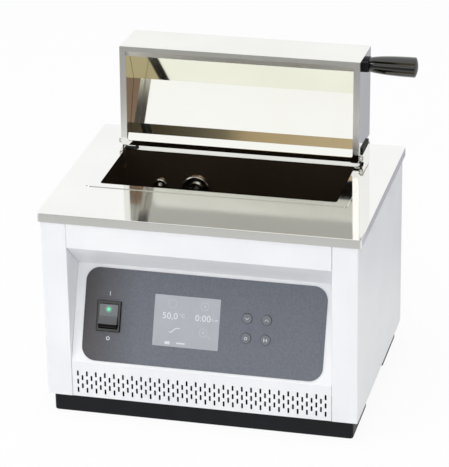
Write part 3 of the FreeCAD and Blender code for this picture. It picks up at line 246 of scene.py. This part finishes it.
materials = {
    "plate": polished_steel("plate_steel", srgb(243, 243, 241), srgb(248, 248, 245)),
    "lid": polished_steel("lid_steel", srgb(236, 236, 233), srgb(244, 244, 240)),
    "liner": polished_steel("liner_steel", srgb(245, 245, 238), srgb(250, 250, 245)),
    # Painted shade: the tank steel is darker and browner than the plate, as the deep tank looks
    "tank": finish_material("tank_steel_painted_shade", srgb(120, 104, 84), srgb(136, 120, 100), 9, (0.06, 0.12),
                            metallic=0.9, **POLISH),
    "white_paint": finish_material("white_powder_coat", srgb(237, 238, 241), srgb(243, 244, 246), 14,
                                   (0.34, 0.42), grain=(1400, 0.000012), waves=(25, 0.00002)),
    "plain_steel": finish_material("plain_sheet_steel", srgb(150, 152, 155), srgb(172, 174, 176), 60,
                                   (0.3, 0.45), metallic=1.0, grain=(700, 0.000005), stretch=(0.1, 1, 1)),
    "black_moulding": finish_material("black_moulding", srgb(15, 16, 21), srgb(23, 24, 30), 40,
                                      (0.42, 0.55), grain=(1500, 0.00002), specular=0.22),
    "gloss_black": finish_material("gloss_black", srgb(9, 9, 6), srgb(15, 15, 11), 30,
                                   (0.05, 0.09), grain=(300, 0.000002), specular=0.8, coat=0.4),
    "inlet_black": finish_material("inlet_black", srgb(24, 24, 25), srgb(32, 32, 33), 50,
                                   (0.35, 0.5), grain=(1200, 0.00001)),
    "membrane_grey": finish_material("membrane_foil", srgb(101, 105, 114), srgb(112, 116, 125), 400,
                                     (0.45, 0.55), grain=(2200, 0.00002), specular=0.35),
    "key_plastic": finish_material("key_foil", srgb(96, 100, 108), srgb(106, 110, 118), 300,
                                   (0.3, 0.36), grain=(1800, 0.000004), specular=1.0),
    "rocker_plastic": finish_material("rocker_gloss", srgb(46, 46, 47), srgb(56, 56, 57), 120,
                                      (0.14, 0.22), grain=(900, 0.000004)),
    "circuit_board": finish_material("solder_mask", srgb(20, 86, 48), srgb(32, 110, 62), 220,
                                     (0.25, 0.4), grain=(800, 0.00002)),
    "black_rubber": finish_material("black_rubber", srgb(20, 20, 21), srgb(30, 30, 31), 120,
                                    (0.6, 0.75), grain=(1600, 0.00002)),
    "fastener_steel": finish_material("zinc_plate", srgb(168, 170, 172), srgb(196, 197, 198), 300,
                                      (0.22, 0.36), metallic=1.0, grain=(1200, 0.000004)),
    "brass_spacer": finish_material("turned_brass", srgb(188, 158, 92), srgb(212, 182, 112), 260,
                                    (0.22, 0.34), metallic=1.0, grain=(1500, 0.000004)),
    "insulation_foam": finish_material("insulation_foam", srgb(214, 204, 168), srgb(232, 224, 192), 180,
                                       (0.85, 0.95), grain=(500, 0.0003)),
    "silicone_mat": finish_material("silicone_mat", srgb(176, 74, 42), srgb(196, 90, 52), 90,
                                    (0.5, 0.62), grain=(600, 0.00006)),
    "fitting_steel": finish_material("turned_steel", srgb(176, 174, 168), srgb(204, 202, 196), 200,
                                     (0.12, 0.22), metallic=1.0, grain=(900, 0.000004)),
    "cutout_ceramic": finish_material("ceramic", srgb(206, 200, 184), srgb(222, 218, 204), 160,
                                      (0.4, 0.55), grain=(900, 0.00002)),
    "transformer_core": finish_material("laminated_core", srgb(64, 64, 68), srgb(98, 98, 102), 900,
                                        (0.4, 0.6), metallic=0.6, grain=(900, 0.00004),
                                        stretch=(0.02, 0.02, 1)),
    "heat_sink": finish_material("extruded_aluminium", srgb(182, 183, 186), srgb(204, 205, 207), 500,
                                 (0.3, 0.42), metallic=1.0, grain=(900, 0.000006), stretch=(1, 0.05, 1)),
    "ribbon_grey": finish_material("ribbon_cable", srgb(120, 121, 126), srgb(168, 169, 173), 800,
                                   (0.4, 0.5), grain=(800, 0.0001), stretch=(1, 0.02, 0.02)),
    "mark_white": finish_material("printed_white", srgb(222, 224, 226), srgb(232, 234, 236), 900,
                                  (0.4, 0.5)),
    "key_mark": finish_material("printed_key_mark", srgb(196, 199, 204), srgb(210, 213, 218), 900,
                                (0.4, 0.5)),
    "screen": lit_material("screen_ground", srgb(181, 184, 192), 0.9),
    "screen_white": lit_material("screen_white", srgb(236, 238, 242), 0.92),
    "screen_soft": lit_material("screen_soft", srgb(228, 230, 235), 0.92),
    "screen_faint": lit_material("screen_faint", srgb(200, 203, 210), 0.92),
}


# Clear plate over the screen
def clear_window():
    material, tree, shader = start_material("clear_window")
    shader.inputs["Base Color"].default_value = (0.98, 0.99, 0.99, 1)
    shader.inputs["Transmission Weight"].default_value = 1.0
    shader.inputs["IOR"].default_value = 1.3
    smear = noise(tree, 40)
    tree.links.new(spread(tree, smear, 0.0, 0.02), shader.inputs["Roughness"])
    return material


# Lamp lens: bright in the middle and green at its edge
def lamp_lens(centre, radius):
    material, tree, shader = start_material("lamp_lens")
    share = spread(tree, distance_from(tree, centre), 0.0, 1.0, 0.0, radius)
    glow = ramp(tree, share, [(0.0, srgb(214, 255, 234)), (0.4, srgb(160, 250, 204)),
                              (1.0, srgb(62, 206, 140))])
    tree.links.new(glow, shader.inputs["Emission Color"])
    shader.inputs["Emission Strength"].default_value = 1.1
    shader.inputs["Base Color"].default_value = srgb(20, 120, 80)
    shader.inputs["Roughness"].default_value = 0.1
    return material


# Control face frame: x across, up the slope, and outwards
press = next(joint for joint in frame["joints"] if joint["name"] == "down_button_press")
outward = -Vector(press["axis"]).normalized()
across = Vector((1, 0, 0))
upward = outward.cross(across)


def box_centre(name):
    low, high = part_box(name)
    return (low + high) / 2


def node_corners(name):
    return [vertex.co for vertex in nodes[name].data.vertices]


def top_of(name):
    """How far a node reaches along the control face's outward normal."""
    return max(corner.dot(outward) for corner in node_corners(name))


# The vent slots lie between these heights
vent_bottom = 26 * mm
vent_top = 50 * mm
# Near black for the painted shade inside the casing
PAINTED_SHADE_BLACK = srgb(9, 9, 11)


# Painted shade: white coat outside and the sheet inside the casing painted near black, so that the vent slots look
# into the dark
def paint_shade_inside(base, name, *zones):
    """The sheet is painted near black, as painted shade, in each of the zones."""
    material = materials[base].copy()
    material.name = name + "_coat"
    tree = material.node_tree
    shader = tree.nodes["Principled BSDF"]
    fade = 0.05 * mm
    # Painted shade: inside the zones the sheet turns near black and rough, and no longer metallic
    inside = larger(tree, *[in_zone(tree, zone, fade) for zone in zones])
    coat = shader.inputs["Base Color"].links[0].from_socket
    tree.links.new(blend_colour(tree, inside, coat, PAINTED_SHADE_BLACK), shader.inputs["Base Color"])
    gloss = shader.inputs["Roughness"].links[0].from_socket
    tree.links.new(larger(tree, gloss, inside), shader.inputs["Roughness"])
    if shader.inputs["Metallic"].default_value > 0:
        metal = spread(tree, inside, 1.0, 0.0, 0.0, 1.0)
        tree.links.new(metal, shader.inputs["Metallic"])
    return material


def side_shade_inside(name):
    """Painted shade: dark between the outer faces, and behind the vents also on the edge of the front flange."""
    low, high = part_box(name)
    skin = 0.6 * mm
    white_edge = 3 * mm
    towards_middle = ("X", low.x + skin, 0.0) if high.x < 0 else ("X", 0.0, high.x - skin)
    return paint_shade_inside("white_paint", name,
                        [("X", low.x + skin, high.x - skin), ("Y", low.y + skin, high.y - skin)],
                        [towards_middle, ("Y", low.y + white_edge, high.y - skin), ("Z", 0.0, vent_top)])


def front_shade_inside(name):
    """Painted shade behind the vent face, so the white coat ends at the mouth of each slot."""
    coat_depth = 0.12 * mm
    vent_face = min(corner.y for corner in node_corners(name) if vent_bottom < corner.z < vent_top)
    return paint_shade_inside("white_paint", name, [("Y", vent_face + coat_depth, FAR), ("Z", 0.0, vent_top)])


def bottom_shade_inside(name):
    """Painted shade on the upper face, which shows through the slots, and bare steel underneath."""
    material = paint_shade_inside("plain_steel", name, [("Z", box_centre(name).z, FAR)])
    material.node_tree.nodes["Principled BSDF"].inputs["Specular IOR Level"].default_value = 0.0
    return material


# Sheet steel that turns satin in a zone where the press tool dulled it
def satin_zone(base, name, zone, rough):
    material = materials[base].copy()
    material.name = name + "_steel"
    tree = material.node_tree
    shader = tree.nodes["Principled BSDF"]
    fade = 0.5 * mm
    satin = in_zone(tree, zone, fade)
    polish = shader.inputs["Roughness"].links[0].from_socket
    tree.links.new(larger(tree, polish, scaled_value(tree, satin, rough)), shader.inputs["Roughness"])
    return material


# Rocker: grey tilted faces, black at the lower end, with painted shade that darkens the lower half of the faces
# and a painted green glow round its lens
lens_radius = 1.9 * mm
glow_radius = 4.2 * mm


def rocker_tones_and_painted_glow():
    material = materials["rocker_plastic"]
    tree = material.node_tree
    shader = tree.nodes["Principled BSDF"]
    heights = [corner.dot(upward) for corner in node_corners("power_rocker")]
    low, high = min(heights), max(heights)
    along = add(tree, "ShaderNodeVectorMath", operation="DOT_PRODUCT")
    along.inputs[1].default_value = upward
    tree.links.new(object_place(tree), along.inputs[0])
    share = spread(tree, along.outputs["Value"], 0.0, 1.0, low, high)
    black = srgb(10, 10, 11)
    # Painted shade: the lower half of the faces is darker than the upper half, so that both look alike under the
    # lamps
    faces = ramp(tree, share, [(0.0, black), (0.17, black), (0.2, srgb(96, 98, 101)),
                               (0.48, srgb(100, 102, 105)), (0.52, srgb(110, 112, 116)),
                               (1.0, srgb(114, 116, 120))])
    tree.links.new(faces, shader.inputs["Base Color"])
    # Painted glow: the rocker itself gives off green light round the lens, though only the lens is a lamp
    shader.inputs["Emission Color"].default_value = srgb(70, 220, 150)
    reach = distance_from(tree, box_centre("rocker_lens"))
    glow = spread(tree, reach, 0.5, 0.0, lens_radius, glow_radius)
    tree.links.new(glow, shader.inputs["Emission Strength"])


# Foil: painted reflection of a dark room, a little darker and browner towards its left end
def foil_painted_reflection():
    material = materials["membrane_grey"]
    tree = material.node_tree
    shader = tree.nodes["Principled BSDF"]
    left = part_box("control_membrane")[0].x
    fade = 60 * mm
    split = add(tree, "ShaderNodeSeparateXYZ")
    tree.links.new(object_place(tree), split.inputs["Vector"])
    tone = shader.inputs["Base Color"].links[0].from_socket
    # Painted reflection: darker and browner towards the left end
    end = spread(tree, split.outputs["X"], 0.75, 0.0, left, left + fade)
    tree.links.new(blend_colour(tree, end, tone, srgb(64, 57, 54)), shader.inputs["Base Color"])


materials["clear_window"] = clear_window()
materials["lamp_green"] = lamp_lens(box_centre("rocker_lens"), lens_radius)
materials["display_grey"] = materials["screen"]
for name in ("side_panel_left", "side_panel_right"):
    materials[name] = side_shade_inside(name)
materials["front_panel"] = front_shade_inside("front_panel")
materials["bottom_plate"] = bottom_shade_inside("bottom_plate")
lid_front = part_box("lid_shell")[0].y
shell_rim = [("Y", 0.0, lid_front + 8 * mm), ("Z", 244 * mm, FAR)]
liner_lip = [("Y", 0.0, lid_front + 9.5 * mm), ("Z", 334 * mm, FAR)]
materials["lid_shell"] = satin_zone("lid", "lid_shell", shell_rim, 0.3)
materials["lid_liner"] = satin_zone("liner", "lid_liner", liner_lip, 0.5)
rocker_tones_and_painted_glow()
foil_painted_reflection()

special_finish = {
    "top_plate": "plate",
    "tank": "tank",
    "hinge_bracket_left": "lid",
    "hinge_bracket_right": "lid",
}
slot_of = {row["node"]: row["material_slot"] for row in frame["record"]["subparts"]}
for name, node in nodes.items():
    material = materials[name if name in materials else special_finish.get(name, slot_of[name])]
    node.data.materials.clear()
    node.data.materials.append(material)


def on_face(x, up, height):
    """The turn and place of a flat piece: x across, up the slope, height along the outward normal."""
    origin = across * x + upward * up + outward * height
    turn = Matrix((across, upward, outward)).transposed().to_4x4()
    return Matrix.Translation(origin) @ turn


def flat_piece(name, outlines, thickness, place, material, body, holes=()):
    """A thin printed or moulded shape: outlines are closed rings of (x, y) in metres."""
    curve = bpy.data.curves.new(name, "CURVE")
    curve.dimensions = "2D"
    curve.fill_mode = "BOTH"
    curve.extrude = thickness / 2
    for ring in list(outlines) + list(holes):
        spline = curve.splines.new("POLY")
        spline.points.add(len(ring) - 1)
        for point, (x, y) in zip(spline.points, ring):
            point.co = (x, y, 0, 1)
        spline.use_cyclic_u = True
    piece = bpy.data.objects.new(name, curve)
    bpy.context.scene.collection.objects.link(piece)
    piece.matrix_world = place @ Matrix.Translation((0, 0, thickness / 2))
    piece.data.materials.append(materials[material])
    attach(piece, body)
    return piece


def ring_points(radius, count=40):
    """A circle about the piece's own middle."""
    angles = [2 * math.pi * i / count for i in range(count)]
    return [(radius * math.cos(angle), radius * math.sin(angle)) for angle in angles]


def bar(x0, y0, x1, y1):
    return [(x0, y0), (x1, y0), (x1, y1), (x0, y1)]


def stroke(points, width):
    """The outline of an open line drawn with a square-ended pen."""
    left = []
    right = []
    for i, point in enumerate(points):
        before = Vector(points[max(i - 1, 0)])
        after = Vector(points[min(i + 1, len(points) - 1)])
        along = (after - before).normalized()
        side = Vector((-along.y, along.x)) * width / 2
        left.append(tuple(Vector(point) + side))
        right.append(tuple(Vector(point) - side))
    return left + right[::-1]


def scaled(points):
    """Points given in millimetres, in metres."""
    return [(x * mm, y * mm) for x, y in points]


# Switch marks printed on the foil
print_depth = 0.03 * mm
foil_top = top_of("control_membrane")
switch_x = box_centre("switch_housing").x
lens_up = box_centre("rocker_lens").dot(upward)
on_mark = on_face(switch_x - 0.2 * mm, lens_up + 16.5 * mm, foil_top)
off_mark = on_face(switch_x + 0.4 * mm, lens_up - 30.8 * mm, foil_top)
flat_piece("switch_on_mark", [scaled(bar(-0.32, -2.2, 0.32, 2.2))], print_depth, on_mark,
           "mark_white", "bath")
flat_piece("switch_off_mark", [ring_points(2.0 * mm)], print_depth, off_mark,
           "mark_white", "bath", holes=[ring_points(1.25 * mm)])

# Key marks printed on the button tops
chevron = [(-1.9, 0.95), (0, -0.95), (1.9, 0.95)]
key_pen = 0.75


def key_place(button):
    centre = box_centre(button)
    return on_face(centre.x, centre.dot(upward), top_of(button))


flat_piece("down_key_mark", [scaled(stroke(chevron, key_pen))], print_depth, key_place("down_button"),
           "key_mark", "down_button")
flat_piece("up_key_mark", [scaled(stroke([(x, -y) for x, y in chevron], key_pen))], print_depth,
           key_place("up_button"), "key_mark", "up_button")
flat_piece("select_key_mark", [ring_points(1.65 * mm)], print_depth, key_place("select_button"),
           "key_mark", "select_button", holes=[ring_points(0.95 * mm)])
menu_bars = [bar(-1.9, -1.8, -1.0, 1.8), bar(1.0, -1.8, 1.9, 1.8), bar(-0.6, -0.4, 0.6, 0.4)]
flat_piece("menu_key_mark", [scaled(outline) for outline in menu_bars], print_depth,
           key_place("menu_button"), "key_mark", "menu_button")

# Screen picture: generic readings and icons between the lit screen and the window
screen = box_centre("display_window")
screen_height = top_of("display_module")
half_width = 35.3 * mm
half_height = 26.85 * mm
ink = 0.02 * mm


def screen_place(u, v, lift=0.005 * mm):
    """u runs from left to right and v from the top down, each from 0 to 1."""
    x = screen.x + (2 * u - 1) * half_width
    up = screen.dot(upward) + (1 - 2 * v) * half_height
    return on_face(x, up, screen_height + lift)


def screen_text(name, words, size, u, v, material="screen_white"):
    text = bpy.data.curves.new(name, "FONT")
    text.body = words
    text.size = size * mm
    text.align_x = "CENTER"
    text.align_y = "CENTER"
    text.extrude = ink / 2
    text.space_character = 1.05
    piece = bpy.data.objects.new(name, text)
    bpy.context.scene.collection.objects.link(piece)
    piece.matrix_world = screen_place(u, v) @ Matrix.Translation((0, 0, ink / 2))
    piece.data.materials.append(materials[material])
    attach(piece, "bath")


def screen_shape(name, outlines, u, v, material="screen_white", holes=()):
    flat_piece(name, outlines, ink, screen_place(u, v), material, "bath", holes)


screen_text("temperature_reading", "50,0", 9.4, 0.243, 0.408)
screen_text("temperature_unit", "°C", 5.6, 0.425, 0.39, "screen_soft")
screen_text("time_reading", "0:00", 9.4, 0.744, 0.405)
screen_text("time_unit", "h:m", 4.4, 0.925, 0.415, "screen_soft")
curve_icon = [(-5.6, -1.4), (-4.4, -2.0), (-3.0, -1.6), (-1.2, 0.4), (0.6, 2.0), (2.4, 2.6), (5.4, 2.6)]
screen_shape("ramp_icon", [scaled(stroke(curve_icon, 0.9))], 0.325, 0.683)
icon_ring = ring_points(4.5 * mm)
for name, v in (("clock_icon", 0.165), ("lens_icon", 0.676)):
    screen_shape(name, [icon_ring], 0.76, v, "screen_faint", [ring_points(3.9 * mm)])
    screen_shape(name + "_dot", [ring_points(1.2 * mm)], 0.76, v, "screen_faint")
screen_shape("lens_icon_stem", [scaled(stroke([(0, 0), (3.0, -2.4)], 0.8))], 0.825, 0.745, "screen_faint")
screen_shape("heat_icon", [icon_ring], 0.27, 0.165, "screen_faint", [ring_points(4.1 * mm)])
screen_shape("left_bar", [scaled(bar(-2.8, -1.6, 2.8, 1.6))], 0.225, 0.93, "screen_soft")
screen_shape("middle_bar", [scaled(bar(-4.6, -0.8, 4.6, 0.8))], 0.43, 0.925, "screen_soft")


# Stage: pale floor that keeps the object's shadow, and looks like a bench to polished surfaces
def add_floor():
    mesh = bpy.data.meshes.new("floor")
    half = 6.0
    low = cad_box[0][2]
    corners = [(-half, -half, low), (half, -half, low), (half, half, low), (-half, half, low)]
    mesh.from_pydata(corners, [], [(0, 1, 2, 3)])
    floor = bpy.data.objects.new("floor", mesh)
    bpy.context.scene.collection.objects.link(floor)
    material, tree, shader = start_material("pale_floor")
    paint = ramp(tree, noise(tree, 3), [(0.3, srgb(226, 227, 228)), (0.7, srgb(232, 233, 234))])
    tree.links.new(paint, shader.inputs["Base Color"])
    shader.inputs["Roughness"].default_value = 0.9
    place = add(tree, "ShaderNodeSeparateXYZ")
    tree.links.new(object_place(tree), place.inputs["Vector"])
    near = spread(tree, place.outputs["Y"], 0.0, 1.0, -1.4, 0.0)
    bench = ramp(tree, near, [(0.0, srgb(104, 102, 98)), (0.16, srgb(140, 138, 133)),
                              (0.45, srgb(166, 166, 163)), (0.8, srgb(236, 236, 236)),
                              (1.0, srgb(250, 250, 250))])
    behind_right = product(tree, spread(tree, place.outputs["Y"], 0.0, 1.0, 0.2, 0.4),
                           spread(tree, place.outputs["X"], 0.0, 1.0, 0.02, 0.2))
    bench = blend_colour(tree, behind_right, bench, srgb(174, 174, 182))
    path = add(tree, "ShaderNodeLightPath")
    shown = add(tree, "ShaderNodeEmission")
    tree.links.new(blend_colour(tree, path.outputs["Is Camera Ray"], bench, WHITE), shown.inputs["Color"])
    share = larger(tree, scaled_value(tree, path.outputs["Is Camera Ray"], 0.93),
                   scaled_value(tree, path.outputs["Is Glossy Ray"], 0.9))
    mix = add(tree, "ShaderNodeMixShader")
    tree.links.new(share, mix.inputs["Fac"])
    tree.links.new(shader.outputs["BSDF"], mix.inputs[1])
    tree.links.new(shown.outputs["Emission"], mix.inputs[2])
    tree.links.new(mix.outputs["Shader"], tree.nodes["Material Output"].inputs["Surface"])
    floor.data.materials.append(material)


def room_colour(tree):
    """The studio as polished surfaces mirror it: white, with a darker room in front and to its right."""
    direction = add(tree, "ShaderNodeTexCoord")
    split = add(tree, "ShaderNodeSeparateXYZ")
    tree.links.new(direction.outputs["Generated"], split.inputs["Vector"])
    x, y, z = (split.outputs[axis] for axis in "XYZ")
    front = spread(tree, y, 1.0, 0.0, -0.28, -0.2)
    horizon = product(tree, front, spread(tree, z, 1.0, 0.0, 0.03, 0.14))
    colour = blend_colour(tree, horizon, WHITE, srgb(120, 117, 108))
    picture_rail = product(tree, front, band(tree, z, 0.35, 0.42, 0.012))
    colour = blend_colour(tree, picture_rail, colour, srgb(184, 184, 178))
    ceiling = product(tree, front, spread(tree, z, 0.0, 1.0, 0.87, 0.89))
    colour = blend_colour(tree, ceiling, colour, srgb(252, 253, 246))
    shelf_tones = ramp(tree, spread(tree, x, 0.0, 1.0, -0.26, -0.16),
                       [(0.0, srgb(40, 34, 24)), (0.08, srgb(64, 56, 40)), (0.36, srgb(92, 88, 76)),
                        (0.40, srgb(176, 156, 122)), (1.0, srgb(196, 178, 146))])
    shelf = product(tree, front, band(tree, z, 0.6, 0.86, 0.01))
    colour = blend_colour(tree, shelf, colour, shelf_tones)
    right = product(tree, spread(tree, x, 0.0, 1.0, 0.02, 0.06), spread(tree, y, 1.0, 0.0, -0.1, 0.0))
    wall_tones = ramp(tree, z, [(0.0, srgb(40, 34, 26)), (0.25, srgb(164, 165, 178)),
                                (0.285, srgb(150, 148, 156)), (0.31, srgb(136, 114, 95)),
                                (0.55, srgb(36, 32, 26)), (0.86, srgb(80, 72, 58)),
                                (0.9, srgb(190, 178, 144))])
    return blend_colour(tree, right, colour, wall_tones)


def light_world():
    world = bpy.data.worlds.new("studio")
    bpy.context.scene.world = world
    world.use_nodes = True
    tree = world.node_tree
    tree.nodes.clear()
    path = add(tree, "ShaderNodeLightPath")
    soft = add(tree, "ShaderNodeBackground")
    soft.inputs["Color"].default_value = WHITE
    soft.inputs["Strength"].default_value = 0.7
    room = add(tree, "ShaderNodeBackground")
    room.inputs["Strength"].default_value = 1.0
    tree.links.new(blend_colour(tree, path.outputs["Is Glossy Ray"], WHITE, room_colour(tree)),
                   room.inputs["Color"])
    mix = add(tree, "ShaderNodeMixShader")
    output = add(tree, "ShaderNodeOutputWorld")
    seen = larger(tree, path.outputs["Is Camera Ray"], path.outputs["Is Glossy Ray"],
                  path.outputs["Is Transmission Ray"])
    tree.links.new(seen, mix.inputs["Fac"])
    tree.links.new(soft.outputs["Background"], mix.inputs[1])
    tree.links.new(room.outputs["Background"], mix.inputs[2])
    tree.links.new(mix.outputs["Shader"], output.inputs["Surface"])


def add_lamp(name, place, target, size, energy, mirrored=True):
    """A softbox. One that isn't mirrored leaves polished surfaces to show only the room."""
    light = bpy.data.lights.new(name, "AREA")
    light.shape = "RECTANGLE"
    light.size, light.size_y = size
    light.energy = energy
    lamp = bpy.data.objects.new(name, light)
    bpy.context.scene.collection.objects.link(lamp)
    lamp.location = place
    lamp.visible_glossy = mirrored
    lamp.rotation_mode = "QUATERNION"
    lamp.rotation_quaternion = (Vector(target) - Vector(place)).to_track_quat("-Z", "Y")


# Camera at the place solved from the casing's edges in the photograph
def add_camera():
    azimuth = math.radians(14.141)
    elevation = math.radians(24.092)
    roll = math.radians(0.9995)
    target = Vector((-0.01267, -0.00668, 0.16527))
    distance = 2.73372
    back = Vector((math.sin(azimuth) * math.cos(elevation), -math.cos(azimuth) * math.cos(elevation),
                   math.sin(elevation)))
    level = Vector((math.cos(azimuth), math.sin(azimuth), 0))
    lift = back.cross(level)
    right = level * math.cos(roll) - lift * math.sin(roll)
    up = level * math.sin(roll) + lift * math.cos(roll)
    data = bpy.data.cameras.new("camera")
    data.lens = 197.24
    data.clip_start = 0.1
    data.clip_end = 50
    camera = bpy.data.objects.new("camera", data)
    bpy.context.scene.collection.objects.link(camera)
    turn = Matrix((right, up, back)).transposed().to_4x4()
    camera.matrix_world = Matrix.Translation(target + back * distance) @ turn
    bpy.context.scene.camera = camera


add_floor()
light_world()
middle = (0, 0, 0.15)
add_lamp("top_softbox", (-0.2, -0.3, 1.9), middle, (1.8, 1.4), 15, mirrored=False)
add_lamp("left_softbox", (-1.8, -1.6, 1.3), middle, (1.2, 1.4), 11.5)
add_lamp("front_softbox", (0.5, -2.6, 1.9), middle, (1.6, 1.0), 11.5)
add_camera()
bpy.context.scene.view_settings.view_transform = "Standard"

bpy.context.view_layer.update()
